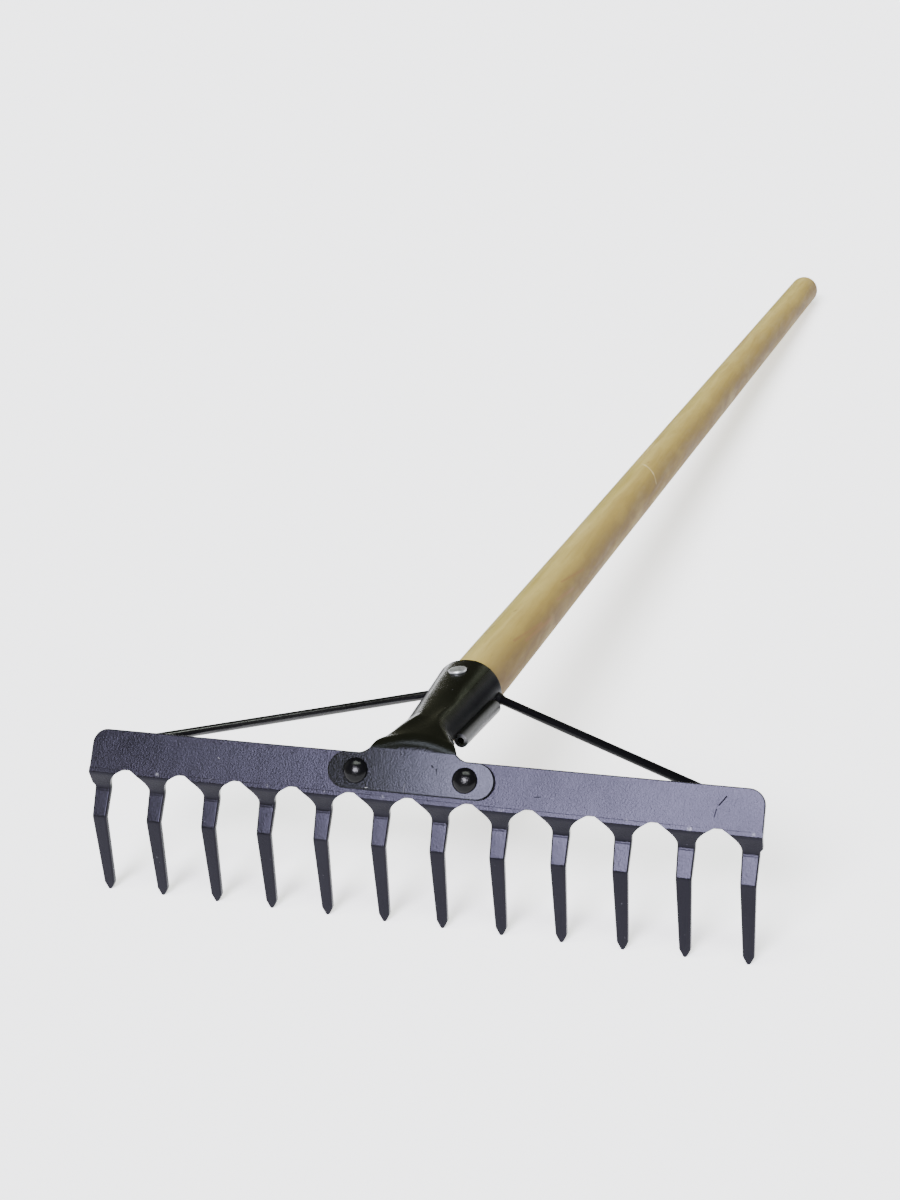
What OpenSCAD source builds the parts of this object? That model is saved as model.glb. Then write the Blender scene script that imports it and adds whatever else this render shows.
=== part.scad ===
// Garden rake: a stamped steel comb with bent teeth, a pressed open socket riveted to it,
// two welded brace rods and a round wooden handle nailed into the socket.
// The head is drawn in the frame of the comb plate: X along the comb, Y from its front face
// backwards, Z up the plate, with Z = 0 at the top of the arches between the teeth.
// place() then lays the rake down: it rests on its tooth tips and on the handle's far end.

/* [Comb] */
// Number of teeth
tooth_count = 12; // [8:2:16]
// Distance from tooth to tooth
tooth_pitch = 29; // [26:0.5:34]
// Thickness of the comb's steel sheet
comb_t = 3; // [2.5:0.1:3.5]
// Height of the plate above the arches
plate_h = 19.3; // [17:0.1:26]
// Plate left outside the centre of each end tooth
end_margin = 5.5; // [5:0.1:7]
// Radius of the plate's two top corners
plate_corner_r = 7.5; // [2:0.5:12]
// Straight top of each arch between two teeth
arch_flat = 3.5; // [1:0.1:5]

/* [Teeth] */
// Angle that the flare under the plate leans back from the plate
flare_angle = 40.3; // [30:0.1:50]
// Drop of the flare, from the arch tops to the second bend
flare_drop = 8.8; // [7:0.1:12]
// Length of the upright stretch between the second and third bends
upright_len = 14.8; // [10:0.1:20]
// Length of the lower stretch, from the third bend to the point
tine_len = 41.3; // [30:0.1:60]
// Angle that the lower stretch leans back from the plate
tine_angle = 34.6; // [25:0.1:40]
// Tooth width at the second bend
tooth_w_top = 8.2; // [6.5:0.1:9.5]
// Tooth width at the third bend
tooth_w_bend = 7.3; // [6:0.1:9]
// Tooth width where the point starts
tooth_w_low = 5.4; // [4:0.1:6]
// Width of the blunt end of the point
point_w = 1.8; // [1:0.1:2.5]
// Length of the point
point_len = 3.8; // [2:0.1:8]
// Rounding of the teeth's front edges
edge_round = 0.8; // [0.4:0.1:1.5]
// Radius of the bends, on the side that stretches
bend_r = 3.2; // [2.5:0.1:6]

/* [Socket] */
// Thickness of the socket's steel sheet
socket_t = 2; // [1.5:0.1:2.2]
// Length of the riveted base, end to end
base_len = 81.6; // [76:0.1:100]
// Height of the riveted base
base_h = 17.2; // [16:0.1:18]
// Height of the base's lower edge above the arch tops
base_lift = 1.8; // [1:0.1:2]
// Half width of the neck just under the fold
neck_half_w = 18.5; // [16:0.1:20]
// Radius of the fillets between the base and the neck
neck_fillet = 9.5; // [7:0.1:10]
// Height of the fold above the arch tops
fold_z = 27.5; // [26:0.1:30]
// Outer radius of the fold
fold_r = 10.5; // [7:0.1:11]
// Depth of the hollow across the neck, between the fold and the barrel
neck_dip = 1; // [0:0.1:1.4]
// Rise of the handle's axis from the plate's normal
socket_angle = 28.7; // [24:0.1:34]
// Depth of the mouth behind the plate's front face
mouth_y = 80.7; // [74:0.1:92]
// Distance from the eyes of the rolled edges to the mouth
barrel_len = 62.5; // [56:0.5:65]
// Outer radius of the barrel at the eyes of the rolled edges
barrel_end_r = 12.5; // [12:0.1:13.5]
// Distance from the mouth to the upper end of the rolled edges
tab_len = 16; // [14:0.5:20]
// Drop of the plain edge beside the mouth, where the braces are welded
tab_drop = 3.4; // [3:0.1:4]
// Outer diameter of the rolled edges
hem_d = 7.2; // [6.8:0.1:8]
// Drop of the rolled edges below the handle's axis
hem_drop = 1.2; // [1:0.1:2]

/* [Handle] */
// Diameter of the handle
handle_d = 28; // [26:0.5:28.5]
// Diameter of the handle's thicker lower end, at the mouth of the socket
butt_d = 28.8; // [28.4:0.1:30]
// Length of the swelling above the mouth
butt_len = 260; // [100:10:400]
// Length of the handle outside the socket
handle_out = 1215; // [900:5:1500]
// Length of the handle inside the socket
handle_in = 43; // [40:1:55]
// Rounding radius of the far end
end_round = 10; // [5:0.5:12]
// Clearance between the wood and the socket
wood_gap = 0.3; // [0.05:0.05:0.4]

/* [Fasteners] */
// Distance between the two rivets
rivet_spacing = 53.6; // [50:0.1:58]
// Height of the rivets above the arch tops
rivet_z = 10.4; // [9.5:0.1:11]
// Diameter of the rivet shanks
rivet_d = 6; // [5:0.1:7]
// Diameter of the domed rivet heads
rivet_head_d = 12.2; // [11:0.1:13]
// Height of the domed rivet heads
rivet_head_h = 3.6; // [2.5:0.1:4.5]
// Diameter of the closing heads behind the comb
closing_head_d = 10; // [8:0.1:12]
// Height of the closing heads
closing_head_h = 1.6; // [1:0.1:2.5]
// Distance from the nail to the mouth
nail_from_mouth = 14; // [10:0.5:25]
// Turn of the nail about the handle's axis, away from the top line
nail_turn = -7; // [-12:1:12]
// Diameter of the nail's head
nail_head_d = 9.2; // [7:0.1:11]
// Height of the nail's head above the socket
nail_head_h = 1.1; // [0.6:0.1:1.6]
// Diameter of the nail's shank
nail_d = 3.4; // [2.5:0.1:4]
// Length of the nail's shank below the head
nail_len = 22; // [15:1:24]
// Clearance round the shanks of the rivets and the nail
shank_gap = 0.02; // [0.02:0.01:0.1]

/* [Braces] */
// Diameter of the brace rods
brace_d = 4.5; // [4:0.1:5]
// Distance from the middle of the comb to the outer end of each brace
brace_reach = 152; // [120:1:158]
// Length of the brace's end that lies against the comb
brace_foot = 16; // [12:0.5:22]
// Height of the brace's outer end above the arch tops
brace_z = 11.5; // [8:0.1:13]
// Distance from the mouth to the centre of the brace's inner end
brace_from_mouth = 5.5; // [5:0.1:8]
// Drop of the brace's inner end below the handle's axis
brace_drop = 1; // [0.8:0.1:1.2]
// Radius of the bend at the brace's foot
brace_bend_r = 9; // [7:0.5:14]
// Width of the weld beads beside the rods' feet
weld_w = 2.2; // [1.5:0.1:3]
// Width of the weld round the rods' inner ends
collar_w = 1.3; // [0.8:0.1:1.6]

/* [Hidden] */
$fn = 64;
eps = 0.01;

// Comb and teeth
comb_half = (tooth_count - 1) * tooth_pitch / 2 + end_margin;
bend_steps = 4;
flare_steps = 5;
corner_steps = 2;
// Front face of a tooth in the Y-Z plane: the bend under the plate, the two bends, the point
bend_1 = [0, -bend_r * tan(flare_angle / 2)];
bend_2 = bend_1 + (flare_drop + bend_1.y) * [tan(flare_angle), -1];
upright_angle = 1.6;
bend_3 = bend_2 + upright_len * [sin(upright_angle), -cos(upright_angle)];
tip = bend_3 + tine_len * [sin(tine_angle), -cos(tine_angle)];
neck_point = bend_3 + (tine_len - point_len) * [sin(tine_angle), -cos(tine_angle)];

// Socket: the axis of the barrel lies in X = 0, and its outer radius shrinks evenly from the mouth
mouth_r = butt_d / 2 + wood_gap + socket_t;
axis_dir = [0, cos(socket_angle), sin(socket_angle)];
axis_up = [0, -sin(socket_angle), cos(socket_angle)];
fold_corner = [-socket_t, fold_z];
// The mouth stands where the barrel's axis, mouth_y behind the plate, rises from the plate at axis_z
axis_z = 18;
mouth = [0, mouth_y, axis_z + mouth_y * tan(socket_angle)];
taper = (mouth_r - barrel_end_r) / barrel_len;
// The neck rises from the fold's corner to the top of the barrel's lower end
barrel_end = mouth + barrel_end_r * axis_up - barrel_len * axis_dir;
top_angle = atan2(barrel_end.z - fold_corner.y, barrel_end.y - fold_corner.x);
base_r = base_h / 2;
base_z = base_lift + base_r;
fold_turn = 90 - top_angle;
fold_start_z = fold_z - fold_r * tan(fold_turn / 2);
// The shell starts a little below the fold, inside the base's sheet
fold_lead = 0.3;
neck_join_z = fold_start_z - fold_lead;
fillet_x = neck_half_w + neck_fillet;
fillet_z = base_lift + base_h + neck_fillet;
join_half_w = fillet_x - sqrt(pow(neck_fillet, 2) - pow(fillet_z - neck_join_z, 2));
// Barrel radius at a distance t from the mouth, negative towards the comb
function barrel_r(t) = mouth_r + t * taper;
fold_end = fold_corner + fold_r * tan(fold_turn / 2) * [cos(top_angle), sin(top_angle)];
fold_end_t = (fold_end.x - mouth.y) * axis_dir.y + (fold_end.y - mouth.z) * axis_dir.z;
fold_end_n = (fold_end.x - mouth.y) * axis_up.y + (fold_end.y - mouth.z) * axis_up.z;
// The neck's crown: half of its flat width, the radius of its shoulders, and their turn at the fold
crown_w = 11.5;
crown_edge_r = 5;
fold_edge_angle = 42;
// Smallest flank below the shoulders; the barrel's flank ends this far below its axis
flank_min = 0.5;
fold_steps = 5;
neck_steps = 10;
section_steps = 12;
hem_r = hem_d / 2;

// Point of the head's frame at x beside, n above and t along the barrel's axis from the mouth
function barrel_point(x, n, t) = mouth + [x, 0, 0] + n * axis_up + t * axis_dir;
function hem_x(t) = barrel_r(t) - socket_t + hem_r;

// Resting pose: the floor touches the front edges of the points and the rounded end of the handle
end_centre = barrel_point(0, end_round - handle_d / 2, handle_out - end_round);
to_end = [end_centre.y - tip.x, end_centre.z - tip.y];
floor_angle = atan2(to_end.y, to_end.x) - asin(end_round / norm(to_end));
function laid(p) = [p.x * cos(floor_angle) + p.y * sin(floor_angle),
                    -p.x * sin(floor_angle) + p.y * cos(floor_angle)];
floor_drop = laid(tip).y;
// The foremost point is on the outside of the third bend, the hindmost on the handle's end
bend_3_turn = tine_angle - upright_angle;
bend_3_back = bend_r / cos(bend_3_turn / 2);
bend_3_mid = (tine_angle + upright_angle) / 2;
bend_3_centre = bend_3 + bend_3_back * [cos(bend_3_mid), sin(bend_3_mid)];
front_y = laid(bend_3_centre).x - bend_r;
back_y = laid([end_centre.y, end_centre.z]).x + end_round;
middle_y = (front_y + back_y) / 2;

module place() {
    translate([0, -middle_y, -floor_drop]) rotate([-floor_angle, 0, 0]) children();
}

// Frame with its origin at p and its axes x, y and z along the given unit vectors
module frame_at(p, x, y, z) {
    multmatrix([[x.x, y.x, z.x, p.x], [x.y, y.y, z.y, p.y], [x.z, y.z, z.z, p.z], [0, 0, 0, 1]])
        children();
}

// Frame of the barrel: X across, Y up from the axis, Z along the axis away from the comb
module on_barrel(t = 0, turn = 0) {
    frame_at(barrel_point(0, 0, t), [-1, 0, 0], axis_up, axis_dir) rotate([0, 0, turn]) children();
}

function unit(v) = v / norm(v);
function mix(a, b, u) = a + (b - a) * u;
function smooth(u) = u * u * (3 - 2 * u);

// Closed skin over rings of equally many points, listed anticlockwise when seen from the last ring.
// A ring's first and last points face each other, and so on inwards, so its end is closed by a
// ladder of quads.
module skin(rings) {
    n = len(rings[0]);
    last = (len(rings) - 1) * n;
    sides = [for (i = [0:n:last - n], j = [0:n - 1]) let (k = (j + 1) % n)
        each [[i + j, i + n + j, i + n + k], [i + j, i + n + k, i + k]]];
    start = [for (j = [0:n / 2 - 2]) [j, j + 1, n - 2 - j, n - 1 - j]];
    end = [for (j = [0:n / 2 - 2]) [last + j, last + n - 1 - j, last + n - 2 - j, last + j + 1]];
    polyhedron([for (r = rings) each r], concat(sides, start, end));
}

// Comb

// Arc of a bend of the front face: points and leaning angles from one stretch to the next.
// side is 1 where the front face is on the inside of the bend and -1 where it is outside.
function bend(corner, from, to, r) =
    let (turn = to - from, reach = r * tan(abs(turn) / 2), side = sign(turn),
         start = corner - reach * [sin(from), -cos(from)],
         centre = start + side * r * [cos(from), sin(from)])
    [for (i = [0:bend_steps]) let (a = from + turn * i / bend_steps)
        [centre - side * r * [cos(a), sin(a)], a]];

// Half width of the flare on its inner side at depth z below the arch tops
flare_spread = (tooth_pitch - arch_flat - tooth_w_top) / 2;
function flare_half(z) = tooth_w_top / 2
    + flare_spread * (1 - sin(90 * min(1, max(0, -z / flare_drop))));
function tine_half(z) =
    z > bend_3.y ? mix(tooth_w_top, tooth_w_bend, (bend_2.y - z) / (bend_2.y - bend_3.y)) / 2
                 : mix(tooth_w_bend, tooth_w_low, (bend_3.y - z) / (bend_3.y - neck_point.y)) / 2;
function tooth_half(z) = z > -flare_drop ? flare_half(z) : tine_half(z);
// The outer side of an end tooth runs straight down from the plate's end to a small step
function end_half(z) = z > -0.8 * flare_drop ? end_margin
    : z > -flare_drop ? mix(end_margin, tooth_w_top / 2, (-z / flare_drop - 0.8) / 0.2)
                      : tine_half(z);

// Front face of a tooth from the plate down: [point, leaning angle]
flare_dir = [sin(flare_angle), -cos(flare_angle)];
flare_top = bend(bend_1, 0, flare_angle, bend_r)[bend_steps][0];
flare_end = bend(bend_2, flare_angle, upright_angle, bend_r)[0][0];
tooth_path = concat(
    bend(bend_1, 0, flare_angle, bend_r),
    [for (i = [1:flare_steps - 1]) [mix(flare_top, flare_end, i / flare_steps), flare_angle]],
    bend(bend_2, flare_angle, upright_angle, bend_r),
    bend(bend_3, upright_angle, tine_angle, bend_r),
    [[neck_point, tine_angle]]);

// Point of a tooth's ring at x, and at a depth behind the front face's point p that leans by a
function tooth_point(p, a, x, depth) = [x, p.x + depth * cos(a), p.y + depth * sin(a)];

// One ring of a tooth: a rectangle of the sheet's thickness whose two front edges are rounded
function tooth_ring(p, a, left, right, round) =
    let (turns = [for (i = [0:corner_steps]) 90 * i / corner_steps],
         backs = [for (q = turns) 90 - q])
    concat(
        [tooth_point(p, a, right, comb_t)],
        [for (q = turns) tooth_point(p, a, right - round * (1 - cos(q)), round * (1 - sin(q)))],
        [for (q = backs) tooth_point(p, a, -left + round * (1 - cos(q)), round * (1 - sin(q)))],
        [tooth_point(p, a, -left, comb_t)]);

function side_half(z, is_end) = is_end ? end_half(z) : tooth_half(z);

// The rounding grows from almost nothing at the plate's lower edge
root_round = 0.15;
module tooth(first, last) {
    body = [for (s = tooth_path) let (z = s[0].y)
        tooth_ring(s[0], s[1], side_half(z, first), side_half(z, last),
                   edge_round * min(1, max(root_round, -z / flare_drop)))];
    end = tooth_ring(tip, tine_angle, point_w / 2, point_w / 2, point_w / 4);
    skin(concat(body, [end]));
}

module plate_outline() {
    half = comb_half;
    r = plate_corner_r;
    translate([-half, 0]) square([2 * half, plate_h - r]);
    translate([-half + r, 0]) square([2 * (half - r), plate_h]);
    for (x = [-half + r, half - r]) translate([x, plate_h - r]) circle(r);
}

// Extrudes an outline of the X-Z plane backwards from y
module sheet_from(y, t) {
    translate([0, y + t, 0]) rotate([90, 0, 0]) linear_extrude(t) children();
}

module rivet_holes() {
    for (x = [-1, 1])
        translate([x * rivet_spacing / 2, -2 * socket_t, rivet_z]) rotate([-90, 0, 0])
            cylinder(r = rivet_d / 2 + shank_gap, h = comb_t + 4 * socket_t);
}

module comb() {
    color([0.27, 0.26, 0.31]) place() difference() {
        union() {
            sheet_from(0, comb_t) plate_outline();
            for (i = [0:tooth_count - 1])
                translate([(i - (tooth_count - 1) / 2) * tooth_pitch, 0, 0])
                    tooth(i == 0, i == tooth_count - 1);
        }
        rivet_holes();
    }
}

// Socket

// Half of a section across the sheet's outer side: a flat crown of half width crown, a shoulder of
// radius r that turns down by edge, and a flank. Each entry is [x, depth below the crown, angle].
function half_section(crown, r, edge, flank) =
    let (len = crown + r * edge * PI / 180)
    concat(
        [for (i = [0:section_steps])
            let (s = len * i / section_steps, a = max(0, s - crown) / r * 180 / PI)
            [min(s, crown) + r * sin(a), r * (1 - cos(a)), a]],
        [[crown + r * sin(edge) + flank * cos(edge), r * (1 - cos(edge)) + flank * sin(edge), edge]]);

function shell_point(top, lean, x, depth) =
    [x, top.x + depth * sin(lean), top.y - depth * cos(lean)];

// Ring of the socket's shell, round its outer side and back along its inner side. top is the
// crown's point in the Y-Z plane and lean the direction of the sheet there.
function shell_ring(top, lean, outer) =
    let (inner = [for (s = outer) [s.x - socket_t * sin(s.z), s.y + socket_t * cos(s.z)]],
         n = len(outer))
    concat(
        [for (i = [n - 1:-1:1]) shell_point(top, lean, -outer[i].x, outer[i].y)],
        [for (s = outer) shell_point(top, lean, s.x, s.y)],
        [for (i = [n - 1:-1:0]) shell_point(top, lean, inner[i].x, inner[i].y)],
        [for (i = [1:n - 1]) shell_point(top, lean, -inner[i].x, inner[i].y)]);

// The fold: the flat sheet bends back and starts to crown
fold_centre = fold_corner + [fold_r, fold_start_z - fold_z];
function fold_ring(u) =
    let (a = 90 - fold_turn * u)
    shell_ring(fold_centre - fold_r * [sin(a), -cos(a)], a,
        half_section(mix(join_half_w - flank_min, crown_w, u), crown_edge_r,
                     fold_edge_angle * u, flank_min));

function crown_point(n, t) = let (p = barrel_point(0, n, t)) [p.y, p.z];

// The neck: it narrows, dips and its edges turn down until they stand beside the handle
function dip(u) = 27 / 4 * u * u * (1 - u);
function neck_ring(u) =
    let (s = smooth(u), t = mix(fold_end_t, -barrel_len, u),
         n = mix(fold_end_n, barrel_end_r, u) - neck_dip * dip(u))
    shell_ring(crown_point(n, t), mix(top_angle, socket_angle, s),
        half_section(crown_w * (1 - s), mix(crown_edge_r, barrel_r(t), s),
                     mix(fold_edge_angle, 90, s), flank_min));

function barrel_ring(t, flank) =
    shell_ring(crown_point(barrel_r(t), t), socket_angle, half_section(0, barrel_r(t), 90, flank));

// The flank drops further over this length, from the rolled edge to the plain tab at the mouth
tab_step = 1;
module socket_shell() {
    skin(concat(
        [shell_ring([-socket_t, neck_join_z], 90,
            half_section(join_half_w - flank_min, crown_edge_r, 0, flank_min))],
        [for (i = [0:fold_steps]) fold_ring(i / fold_steps)],
        [for (i = [1:neck_steps]) neck_ring(i / neck_steps)],
        [barrel_ring(-tab_len - tab_step / 2, flank_min)],
        [for (t = [-tab_len + tab_step / 2, 0]) barrel_ring(t, tab_drop)]));
}

module base_outline() {
    half = base_len / 2 - base_r;
    translate([-half, base_lift]) square([2 * half, base_h]);
    for (x = [-half, half]) translate([x, base_z]) circle(base_r);
    difference() {
        translate([-fillet_x, base_z]) square([2 * fillet_x, neck_join_z + fold_lead / 2 - base_z]);
        for (x = [-fillet_x, fillet_x]) translate([x, fillet_z]) circle(neck_fillet);
    }
}

// Straight round bar from p to q
module rod(p, q, r) {
    z = unit(q - p);
    x = unit(cross([1, 1, 1], z));
    frame_at(p, x, cross(z, x), z) cylinder(r = r, h = norm(q - p));
}

// Rolled edge on one side of the barrel
module hem(side, r, over = 0) {
    from = -barrel_len - over;
    to = -tab_len + over;
    rod(barrel_point(side * hem_x(from), -hem_drop, from),
        barrel_point(side * hem_x(to), -hem_drop, to), r);
}

module nail_axis() {
    on_barrel(-nail_from_mouth, nail_turn) rotate([-90, 0, 0]) children();
}

module socket() {
    color([0.12, 0.13, 0.1]) place() difference() {
        union() {
            sheet_from(-socket_t, socket_t) base_outline();
            socket_shell();
            for (side = [-1, 1]) hem(side, hem_r);
        }
        for (side = [-1, 1]) hem(side, hem_r - socket_t, over = 1);
        rivet_holes();
        nail_axis() cylinder(r = nail_d / 2 + shank_gap, h = 2 * mouth_r);
    }
}

// Rivets

// Low dome of the given diameter and height, standing on z = 0
module dome(d, h) {
    r = (d * d / 4 + h * h) / (2 * h);
    intersection() {
        translate([0, 0, h - r]) sphere(r);
        cylinder(r = d / 2, h = h);
    }
}

module rivets() {
    color([0.05, 0.05, 0.06]) place() for (side = [-1, 1])
        translate([side * rivet_spacing / 2, -socket_t, rivet_z]) rotate([-90, 0, 0]) {
            mirror([0, 0, 1]) dome(rivet_head_d, rivet_head_h);
            cylinder(r = rivet_d / 2, h = socket_t + comb_t);
            translate([0, 0, socket_t + comb_t]) dome(closing_head_d, closing_head_h);
        }
}

// Braces

brace_r = brace_d / 2;
elbow_swell = 0.03;
elbow_lap = 0.3;
foot_lift = brace_r + elbow_swell;
foot_y = comb_t + foot_lift;
inner_end = barrel_point(barrel_r(-brace_from_mouth), -brace_drop, -brace_from_mouth);
outer_end = [brace_reach, foot_y, brace_z];
// The foot runs along the comb in line with the rod, as seen from behind
foot_run = unit([inner_end.x - outer_end.x, 0, inner_end.z - outer_end.z]);
foot_bend = outer_end + brace_foot * foot_run;
brace_dir = unit(inner_end - foot_bend);
collar_lip = 0.2;

// Everything inside the plane of the barrel's flank, which the rod's inner end meets
module inside_flank() {
    lean = atan(taper);
    out = [cos(lean), 0, 0] - sin(lean) * axis_dir;
    reach = 2 * mouth_r;
    frame_at(barrel_point(mouth_r, 0, 0), axis_up, out, cross(axis_up, out))
        translate([-reach, -reach, -reach]) cube([2 * reach, reach, 2 * reach]);
}

// Bar through the given points, with its corner bent to a radius. The elbow is a hair thicker than
// the bar, and the straight ends reach a little way into it.
module bent_rod(a, corner, b, r, bend_radius) {
    u = unit(a - corner);
    v = unit(b - corner);
    turn = 180 - acos(u * v);
    reach = bend_radius * tan(turn / 2);
    centre = corner + bend_radius / cos(turn / 2) * unit(u + v);
    x = unit(corner + reach * u - centre);
    frame_at(centre, x, -u, cross(x, -u))
        rotate_extrude(angle = turn) translate([bend_radius, 0]) circle(r + elbow_swell);
    rod(a, corner + (reach - elbow_lap) * u, r);
    rod(corner + (reach - elbow_lap) * v, b, r);
}

// The right-hand brace; the left one is its mirror image
module brace() {
    difference() {
        bent_rod(outer_end, foot_bend, inner_end + brace_r * brace_dir, brace_r, brace_bend_r);
        inside_flank();
    }
}

module brace_left() {
    color([0.04, 0.04, 0.05]) place() mirror([1, 0, 0]) brace();
}

module brace_right() {
    color([0.04, 0.04, 0.05]) place() brace();
}

// Bead on either side of a brace's foot, between the rod and the comb's back
module foot_beads() {
    bead_len = brace_foot - brace_bend_r / 2;
    z = -foot_run;
    frame_at(outer_end - [0, foot_lift, 0] + bead_len * foot_run, cross([0, 1, 0], z), [0, 1, 0], z)
        for (side = [0, 1]) mirror([side, 0, 0]) linear_extrude(bead_len) difference() {
            polygon([[brace_r / 2, 0], [brace_r + weld_w, 0],
                     [brace_r + weld_w / 2, brace_r], [brace_r / 2, 1.6 * brace_r]]);
            translate([0, foot_lift]) circle(brace_r);
        }
}

// Collar of weld round a brace's inner end, on the flank of the barrel
module end_bead() {
    z = -brace_dir;
    x = unit(cross([0, 0, 1], z));
    difference() {
        frame_at(inner_end - brace_r * z, x, cross(z, x), z)
            cylinder(r1 = brace_r + collar_w, r2 = brace_r + collar_lip, h = 2 * brace_r + collar_w);
        inside_flank();
        rod(inner_end - brace_d * z, inner_end + 2 * brace_d * z, brace_r);
    }
}

module brace_welds() {
    color([0.06, 0.06, 0.07]) place() for (side = [0, 1]) mirror([side, 0, 0]) {
        foot_beads();
        end_bead();
    }
}

// Handle

nose = 3;
function inside_r(t) = barrel_r(t) - socket_t - wood_gap;

module handle_profile() {
    r = handle_d / 2;
    straight_end = handle_out - end_round;
    polygon([[0, -handle_in], [inside_r(-handle_in) - nose, -handle_in],
             [inside_r(nose - handle_in), nose - handle_in], [inside_r(0), 0],
             [r, butt_len], [r, straight_end], [0, straight_end]]);
    translate([0, straight_end]) square([r - end_round, end_round]);
    intersection() {
        translate([r - end_round, straight_end]) circle(end_round);
        translate([r - end_round, straight_end]) square(end_round);
    }
}

module handle() {
    color([0.78, 0.68, 0.47]) place() difference() {
        on_barrel() rotate_extrude() handle_profile();
        nail_axis() translate([0, 0, nail_tip - shank_gap])
            cylinder(r = nail_d / 2 + shank_gap, h = 2 * mouth_r);
    }
}

// Nail

// The head is pressed this far over the crown of the barrel
nail_sink = 0.3;
nail_seat = barrel_r(-nail_from_mouth);
nail_tip = nail_seat - nail_len;

module barrel_cone() {
    from = -2 * nail_from_mouth;
    on_barrel() rotate_extrude() polygon([[0, from], [barrel_r(from), from], [mouth_r, 0], [0, 0]]);
}

module nail() {
    color([0.62, 0.63, 0.64]) place() {
        nail_axis() translate([0, 0, nail_tip]) cylinder(r = nail_d / 2, h = nail_len);
        difference() {
            nail_axis() translate([0, 0, nail_seat - nail_sink])
                cylinder(r = nail_head_d / 2, h = nail_head_h + nail_sink);
            difference() {
                barrel_cone();
                nail_axis() cylinder(r = nail_d / 2, h = 2 * mouth_r);
            }
        }
    }
}

comb();
socket();
rivets();
brace_left();
brace_right();
brace_welds();
handle();
nail();
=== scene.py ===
import math
import bmesh
import bpy
from mathutils import Matrix, Vector


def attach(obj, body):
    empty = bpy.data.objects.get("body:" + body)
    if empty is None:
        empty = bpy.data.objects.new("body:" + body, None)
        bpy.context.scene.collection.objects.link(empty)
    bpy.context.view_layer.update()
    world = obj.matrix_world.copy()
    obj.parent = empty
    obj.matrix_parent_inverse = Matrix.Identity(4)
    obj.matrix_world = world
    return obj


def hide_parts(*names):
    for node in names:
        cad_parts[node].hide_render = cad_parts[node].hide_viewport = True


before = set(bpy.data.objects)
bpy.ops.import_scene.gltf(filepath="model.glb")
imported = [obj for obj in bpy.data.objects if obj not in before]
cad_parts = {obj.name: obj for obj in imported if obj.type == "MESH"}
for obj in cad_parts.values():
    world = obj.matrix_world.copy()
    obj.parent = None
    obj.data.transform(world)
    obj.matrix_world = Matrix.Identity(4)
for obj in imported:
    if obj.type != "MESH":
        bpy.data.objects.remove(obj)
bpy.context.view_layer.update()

TAU = 2 * math.pi

# Sizes in millimetres, in the frame of the comb plate: X along the comb, Y backwards from its front
# face, Z up the plate, Z = 0 at the tops of the arches. row() lays them down as in the CAD.
FLOOR_ANGLE = math.radians(31.629)
MIDDLE_Y, FLOOR_DROP = 654.037, -64.9423
TEETH, PITCH, COMB_T, PLATE_H, END_MARGIN = 12, 29.0, 3.0, 19.3, 5.5
COMB_HALF = (TEETH - 1) * PITCH / 2 + END_MARGIN
PLATE_R, PLATE_ROUND, ARCH_FLAT = 7.5, 0.55, 3.5
FLARE_DROP, UPRIGHT, TINE, POINT = 8.8, 14.8, 41.3, 3.8
FLARE_A, UPRIGHT_A, TINE_A = (math.radians(v) for v in (40.3, 1.6, 34.6))
W_TOP, W_BEND, W_LOW, W_POINT = 8.2, 7.3, 5.4, 1.8
BEND_R, EDGE_ROUND, BACK_ROUND, POINT_BACK_ROUND, CREASE_DEPTH = 3.2, 0.8, 0.5, 0.3, 0.12
ROOT_LAG, LAG_FADE = 1.7, 2.5
SHEET, BASE_LEN, BASE_H, BASE_LIFT, BASE_ROUND = 2.0, 81.6, 17.2, 1.8, 0.5
NECK_HALF, NECK_FILLET, FOLD_Z, FOLD_R = 18.5, 9.5, 27.5, 10.5
SOCKET_A, AXIS_Z, MOUTH_Y = math.radians(28.7), 18, 80.7
BARREL_LEN, BARREL_END_R, TAB_LEN, TAB_DROP = 62.5, 12.5, 16.0, 3.4
HEM_D, HEM_DROP = 7.2, 1.2
HANDLE_R, BUTT_R, BUTT_LEN, HANDLE_IN, HANDLE_OUT = 14.0, 14.4, 260.0, 43.0, 1215.0
END_ROUND, WOOD_GAP, NOSE = 10.0, 0.3, 3.0
RIVET_X, RIVET_Z = 26.8, 10.4
RIVET_HEAD_R, RIVET_HEAD_H, RIVET_TAIL_R, RIVET_TAIL_H = 6.1, 3.4, 5.0, 1.5
NAIL_T, NAIL_LEAN = -14.0, math.radians(-7)

AXIS = Vector((0, math.cos(SOCKET_A), math.sin(SOCKET_A)))
UP = Vector((0, -math.sin(SOCKET_A), math.cos(SOCKET_A)))
MOUTH = Vector((0, MOUTH_Y, AXIS_Z + MOUTH_Y * math.tan(SOCKET_A)))
MOUTH_R = BUTT_R + WOOD_GAP + SHEET


def row(p):
    """A point of the plate frame in millimetres, as a point of the row frame in metres."""
    c, s = math.cos(FLOOR_ANGLE), math.sin(FLOOR_ANGLE)
    return Vector((p[0], p[1] * c + p[2] * s - MIDDLE_Y, p[2] * c - p[1] * s - FLOOR_DROP)) / 1000


def mix(a, b, u):
    return a + (b - a) * u


def smooth(u):
    u = min(1, max(0, u))
    return u * u * (3 - 2 * u)


def quarter(steps):
    """Angles of a quarter turn."""
    return [math.pi / 2 * i / steps for i in range(steps + 1)]


def barrel_point(x, n, t):
    """A point beside the barrel's axis, above it and along it from the mouth."""
    return MOUTH + Vector((x, 0, 0)) + n * UP + t * AXIS


# Meshes


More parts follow.
